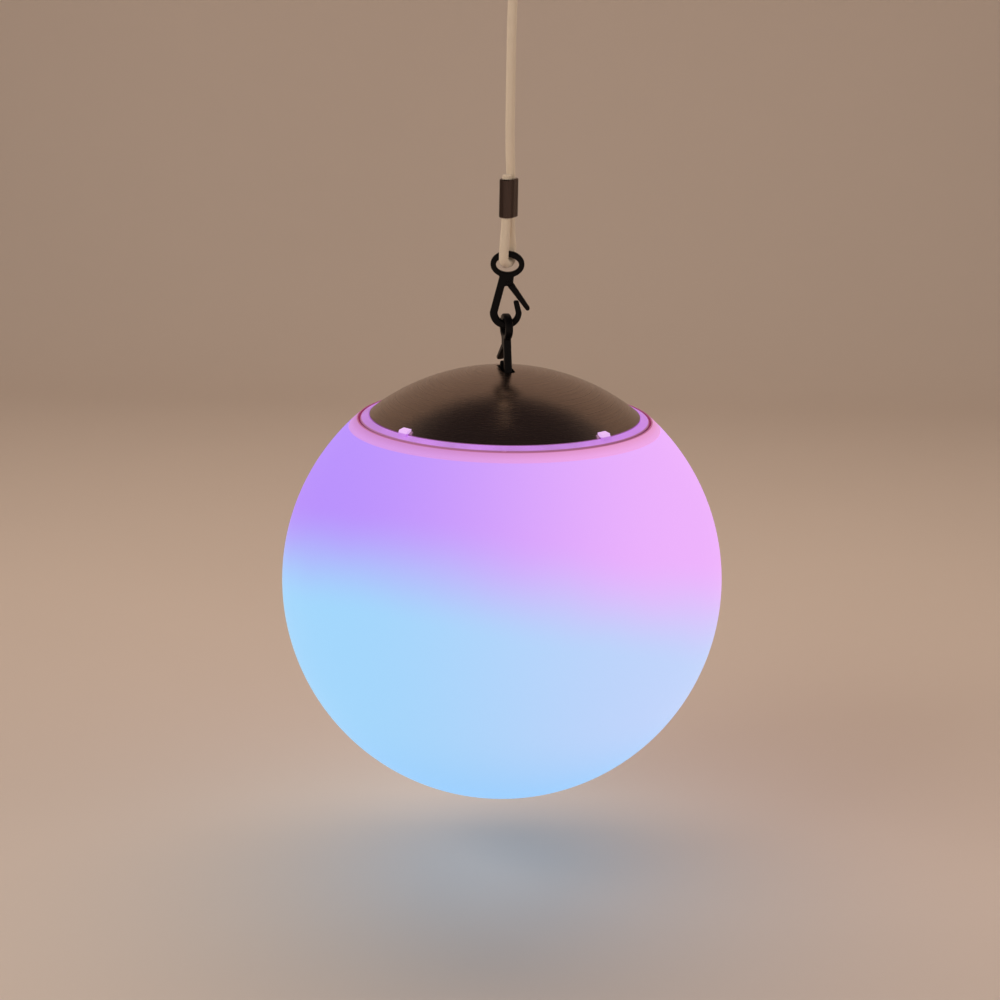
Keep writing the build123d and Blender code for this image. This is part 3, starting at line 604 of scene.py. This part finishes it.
# ---- operators -----------------------------------------------------------------------------------
class GLOBELIGHT_OT_stage(bpy.types.Operator):
    """Camera, floor and backdrop, and soft lights"""

    bl_idname = "globelight.stage"
    bl_label = "Stage"

    def execute(self, context):
        scene = context.scene
        scene.view_settings.view_transform = "Standard"
        self.camera(scene)
        self.backdrop(scene)
        self.surroundings(scene)
        self.lights(scene)
        return {"FINISHED"}

    def camera(self, scene):
        settings = scene.globelight_stage
        camera = bpy.data.objects.new("camera", bpy.data.cameras.new("camera"))
        scene.collection.objects.link(camera)
        camera.data.sensor_width, camera.data.lens = CAMERA_SENSOR, settings.lens
        camera.data.clip_start, camera.data.clip_end = 0.05, 30
        rise = settings.distance * math.tan(settings.elevation)
        aim = Matrix.Rotation(math.pi / 2 - settings.elevation + settings.tilt_up, 4, "X")
        heading = Matrix.Rotation(settings.aside, 4, "Z")
        roll = Matrix.Rotation(settings.roll, 4, "Z")
        place = Vector((0, -settings.distance, GLOBE_Z + rise))
        camera.matrix_world = Matrix.Translation(place) @ heading @ aim @ roll
        scene.camera = camera

    def backdrop(self, scene):
        """A floor below the globe that curves up into a wall behind it."""
        floor_z = level(-GLOBE_R - FLOOR_BELOW)
        front, bend, bend_r, wall_high, half_wide = 2.4, 1.5, 0.7, 3.2, 4.0
        profile = [(-front, floor_z), (bend, floor_z)]
        for step in range(1, 17):
            a = math.pi / 2 * step / 16
            profile.append((bend + bend_r * math.sin(a), floor_z + bend_r - bend_r * math.cos(a)))
        profile.append((bend + bend_r, floor_z + wall_high))
        points = [(x, y, z) for y, z in profile for x in (-half_wide, half_wide)]
        faces = [(2 * i, 2 * i + 1, 2 * i + 3, 2 * i + 2) for i in range(len(profile) - 1)]
        mesh = bpy.data.meshes.new("backdrop")
        mesh.from_pydata(points, [], faces)
        mesh.shade_smooth()
        colour = (0.74, 0.62, 0.53)
        paper = Finish("paper", colour, 0.85).mottle(colour, 0.04, 3.0, 300.0, 0.05 * MM)
        mesh.materials.append(paper.material)
        backdrop = bpy.data.objects.new("backdrop", mesh)
        scene.collection.objects.link(backdrop)

    def surroundings(self, scene):
        """A warm glow near the horizon that darkens overhead."""
        world = bpy.data.worlds.new("studio")
        scene.world = world
        world.use_nodes = True
        nodes, links = world.node_tree.nodes, world.node_tree.links
        coords, split = nodes.new("ShaderNodeTexCoord"), nodes.new("ShaderNodeSeparateXYZ")
        height, blend = nodes.new("ShaderNodeMapRange"), nodes.new("ShaderNodeMix")
        links.new(coords.outputs["Generated"], split.inputs[0])
        links.new(split.outputs[2], height.inputs["Value"])
        height.inputs["From Min"].default_value = 0.15
        height.inputs["From Max"].default_value = 0.85
        blend.data_type = "RGBA"
        links.new(height.outputs[0], blend.inputs[0])
        blend.inputs[6].default_value = (0.90, 0.74, 0.62, 1)
        blend.inputs[7].default_value = (0.07, 0.05, 0.05, 1)
        links.new(blend.outputs[2], nodes["Background"].inputs["Color"])
        nodes["Background"].inputs["Strength"].default_value = 0.42

    def lights(self, scene):
        """Area lights: name, place about the globe, size, power and colour."""
        lights = (
            ("key", (-1.3, -1.1, 0.9), (1.2, 1.2), 14, (1.0, 0.96, 0.92)),
            ("fill", (1.6, -0.7, 0.5), (1.2, 1.2), 8, (1.0, 0.95, 0.90)),
            ("overhead", (0.0, 0.7, 1.5), (2.4, 0.7), 16, (1.0, 0.84, 0.70)),
        )
        for name, offset, size, power, colour in lights:
            lamp = bpy.data.lights.new(name, "AREA")
            lamp.shape, (lamp.size, lamp.size_y) = "RECTANGLE", size
            lamp.energy, lamp.color = power, colour
            holder = bpy.data.objects.new(name, lamp)
            scene.collection.objects.link(holder)
            holder.visible_glossy = False
            holder.location = Vector(offset) + Vector((0, 0, GLOBE_Z))
            holder.rotation_euler = (-Vector(offset)).to_track_quat("-Z", "Y").to_euler()


class GLOBELIGHT_OT_line(bpy.types.Operator):
    """The cord with a loop at each end, and the finishes of its sleeves and hooks"""

    bl_idname = "globelight.line"
    bl_label = "Hanging line"

    def execute(self, context):
        settings = context.scene.globelight_line
        low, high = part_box("lower_ferrule"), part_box("upper_ferrule")
        lower_foot, lower_top = low[0].z, low[1].z
        upper_foot, upper_top = high[0].z, high[1].z
        leg, loop, wide = LEG_R * MM, LOOP_R * MM, LOOP_SIDE * MM
        low_loop, top_loop = lower_foot - LOOP_FROM_FERRULE * MM, upper_top + LOOP_FROM_FERRULE * MM
        route = [
            (-leg, lower_top + 2.7 * MM),
            (-leg, lower_foot - 2 * MM),
            (-wide, low_loop + 2.5 * MM),
            (-wide, low_loop - loop),
            (wide, low_loop - loop),
            (wide, low_loop + 2.5 * MM),
            (leg, lower_foot - 2 * MM),
            (leg, lower_top + 2 * MM),
            (0, lower_top + 26 * MM),
            (0, upper_foot - 26 * MM),
            (leg, upper_foot - 2 * MM),
            (leg, upper_top + 2 * MM),
            (wide, top_loop - 2.5 * MM),
            (wide, top_loop + loop),
            (-wide, top_loop + loop),
            (-wide, top_loop - 2.5 * MM),
            (-leg, upper_top + 2 * MM),
            (-leg, upper_foot - 2.7 * MM),
        ]
        side = Vector((math.cos(LOOP_TURN), math.sin(LOOP_TURN), 0))
        curve = bpy.data.curves.new("hanging_cord", "CURVE")
        curve.dimensions, curve.resolution_u = "3D", 16
        spline = curve.splines.new("NURBS")
        spline.points.add(len(route) - 1)
        for point, (across, z) in zip(spline.points, route):
            point.co = (*(side * across + Vector((0, 0, z))), 1)
        spline.order_u = 3
        spline.use_endpoint_u = True
        curve.bevel_depth, curve.bevel_resolution, curve.use_fill_caps = settings.cord_width / 2, 8, True
        curve.materials.append(cord_finish(settings))
        cord = bpy.data.objects.new("hanging_cord", curve)
        context.scene.collection.objects.link(cord)
        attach(cord, "line")
        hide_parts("cord")
        sleeve = ferrule_finish()
        for name in ("upper_ferrule", "lower_ferrule"):
            paint(name, sleeve)
        black = plain_finishes(settings)["hook_plastic"]
        for which in ("top", "middle", "lower"):
            paint(which + "_hook", black)
            paint(which + "_hook_gate", black)
        return {"FINISHED"}


class GLOBELIGHT_OT_globe(bpy.types.Operator):
    """The lit globe, and the collar in its mouth"""

    bl_idname = "globelight.globe"
    bl_label = "Globe"

    def execute(self, context):
        settings = context.scene.globelight_globe
        outer, inner, mouth = GLOBE_R, GLOBE_R - settings.wall / MM, MOUTH_R + 0.1
        below = [(r, -z) for r, z in sphere_profile(outer, 0, outer - 0.001, 72)]
        above = sphere_profile(outer, outer - 0.001, mouth, 40)[1:]
        within = sphere_profile(inner, mouth, inner - 0.001, 40)
        under = [(r, -z) for r, z in sphere_profile(inner, inner - 0.001, 0, 72)][1:]
        globe = mesh_of_rows("globe", turned_rows(below + above + within + under))
        finished("globe", globe, globe_finish(settings), "globe", ["globe_shell"])

        material = collar_finish()
        collar = join_meshes("collar", [self.collar_ring(), self.catches(material)])
        finished("collar", collar, material, "globe", ["globe_collar"])
        return {"FINISHED"}

    def collar_ring(self):
        """Flush with the globe outside, a wing under its wall, and a bore for the light unit."""
        wing, wing_in = 147.4, 145.0
        inner_edge, wing_edge, bore_wall, bore = 98.6, 113.8, 96.0, COLLAR_BORE_R
        edge_z = on_sphere(GLOBE_R, MOUTH_R) - 0.35
        profile = [(inner_edge, on_sphere(GLOBE_R, inner_edge) - 0.4)]
        profile += sphere_profile(GLOBE_R, inner_edge + 0.3, MOUTH_R - 0.3, 6)
        profile += [(MOUTH_R, edge_z), (MOUTH_R, on_sphere(wing, MOUTH_R))]
        profile += sphere_profile(wing, MOUTH_R, wing_edge, 6)[1:]
        profile += [(wing_edge + 0.1, on_sphere(wing_in, 113.0))]
        profile += sphere_profile(wing_in, 112.5, 100.5, 6)
        profile += [(bore_wall, on_sphere(wing_in, 100.5) - 1), (bore_wall, 92.4), (bore_wall - 0.4, 92.0)]
        profile += [(bore + 0.4, 92.0), (bore, 92.4), (bore, 107.2), (bore + 0.3, 107.5)]
        profile += [(inner_edge - 0.3, 107.5), (inner_edge, 107.8)]
        return mesh_of_rows("collar_ring", turned_rows(profile), closed=True)

    def catches(self, material):
        """Four catches on the inside of the collar, each a block bent to the bore."""
        half, steps, rows = math.radians(12), 12, []
        for i in range(steps + 1):
            a = half * (2 * i / steps - 1)
            high, root_r = CATCH_TOP_Z - CATCH_Z, COLLAR_BORE_R + 0.6
            corners = ((CATCH_R, 0.0), (CATCH_R, high), (root_r, high), (root_r, 0.0))
            rows.append([(r * MM * math.cos(a), r * MM * math.sin(a), z * MM) for r, z in corners])
        mesh = mesh_of_rows("catch", rows)
        shape = bmesh.new()
        shape.from_mesh(mesh)
        bmesh.ops.holes_fill(shape, edges=shape.edges)
        bmesh.ops.recalc_face_normals(shape, faces=shape.faces)
        shape.to_mesh(mesh)
        shape.free()
        return ring_of(mesh, 4, 0.001, level(CATCH_Z), math.radians(45), material)


class GLOBELIGHT_OT_light_unit(bpy.types.Operator):
    """The steel dome with its slot, the lit ring, the clips and what is inside"""

    bl_idname = "globelight.light_unit"
    bl_label = "Light unit"

    def execute(self, context):
        finishes = plain_finishes(context.scene.globelight_line)
        self.dome(context.scene.globelight_unit)
        paint("cap_base", ring_finish(context.scene.globelight_unit))
        self.screws(finishes["fastener_steel"])
        self.led_rings(finishes["chip"])
        for part in FRAME["record"]["subparts"]:
            if part["material_slot"] in finishes:
                paint(part["node"], finishes[part["material_slot"]])
        return {"FINISHED"}

    def dome(self, settings):
        """A thin pressed dome with a rounded slot, skinned from its slot to its foot and back inside."""
        angles = circle_angles(TURN_STEPS)
        slot = (SLOT_HALF_LONG, SLOT_HALF_WIDE, SLOT_CORNER)
        reach = [rounded_slot_radius(a - HOOK_TURN, *slot) for a in angles]
        spans = [(i / 44) ** 1.15 for i in range(45)]

        def shell(sphere, end, share, drop=0.0, grow=0.0):
            row = []
            for a, near in zip(angles, reach):
                r = near + grow + (end - near - grow) * share
                row.append((r * MM * math.cos(a), r * MM * math.sin(a), level(on_sphere(sphere, r) - drop)))
            return row

        rows = [shell(DOME_R, DOME_FOOT_R, 0.0, drop=SLOT_EDGE)]
        rows += [shell(DOME_R, DOME_FOOT_R, share, grow=SLOT_EDGE) for share in spans]
        lip = [(DOME_FOOT_R, 114.75), (DOME_FOOT_R - 0.2, 114.48), (85.6, 114.48), (85.6, 115.25)]
        rows += turned_rows(lip + [(DOME_INNER_FOOT_R, 115.25)])
        rows += [shell(DOME_INNER_R, DOME_INNER_FOOT_R, share) for share in reversed(spans)]
        mesh = mesh_of_rows("steel_dome", rows, closed=True)
        finished("steel_dome", mesh, dome_finish(settings), "light_unit", ["dome_cover"])

    def screws(self, steel):
        """The lid's screws from above, and the lens's from below."""
        head = small_screw(2.8, 2.0, 1.5, 10.0)
        ring = ring_of(head, 6, 75.0, level(114.0), 0.0, steel)
        finished("lid_screw_ring", ring, steel, "light_unit", ["lid_screws"])
        under = small_screw(2.6, 1.8, 1.25, 5.2, upside_down=True)
        ring = ring_of(under, 4, 38.0, level(76.8), math.radians(45), steel)
        finished("lens_screw_ring", ring, steel, "light_unit", ["lens_screws"])

    def led_rings(self, lit):
        chip = soft_block("chip", (4.9, 4.9, 0.85), 0.2)
        rings = [ring_of(chip, count, r, level(83.33), 0.0, lit) for count, r in ((12, 22.0), (6, 11.0))]
        finished("led_rings", join_meshes("led_rings", rings), lit, "light_unit", ["led_chips"])


class GLOBELIGHT_PT_panel(bpy.types.Panel):
    """Sizes, colours and the steps that build the light"""

    bl_label = "Globe Light"
    bl_idname = "GLOBELIGHT_PT_panel"
    bl_space_type = "VIEW_3D"
    bl_region_type = "UI"
    bl_category = "Globe Light"

    def draw(self, context):
        groups = (
            (context.scene.globelight_stage, "globelight.stage"),
            (context.scene.globelight_line, "globelight.line"),
            (context.scene.globelight_globe, "globelight.globe"),
            (context.scene.globelight_unit, "globelight.light_unit"),
        )
        for settings, step in groups:
            column = self.layout.column(align=True)
            for name in settings.__annotations__:
                column.prop(settings, name)
            column.operator(step)


SETTINGS = {
    "globelight_stage": StageSettings,
    "globelight_line": LineSettings,
    "globelight_globe": GlobeSettings,
    "globelight_unit": LightUnitSettings,
}
CLASSES = (
    *SETTINGS.values(),
    GLOBELIGHT_OT_stage,
    GLOBELIGHT_OT_line,
    GLOBELIGHT_OT_globe,
    GLOBELIGHT_OT_light_unit,
    GLOBELIGHT_PT_panel,
)


def register():
    for each in CLASSES:
        bpy.utils.register_class(each)
    for name, kind in SETTINGS.items():
        setattr(bpy.types.Scene, name, PointerProperty(type=kind))


def unregister():
    for name in SETTINGS:
        delattr(bpy.types.Scene, name)
    for each in reversed(CLASSES):
        bpy.utils.unregister_class(each)


def main():
    register()
    bpy.ops.globelight.stage()
    bpy.ops.globelight.line()
    bpy.ops.globelight.globe()
    bpy.ops.globelight.light_unit()


if __name__ == "__main__":
    main()
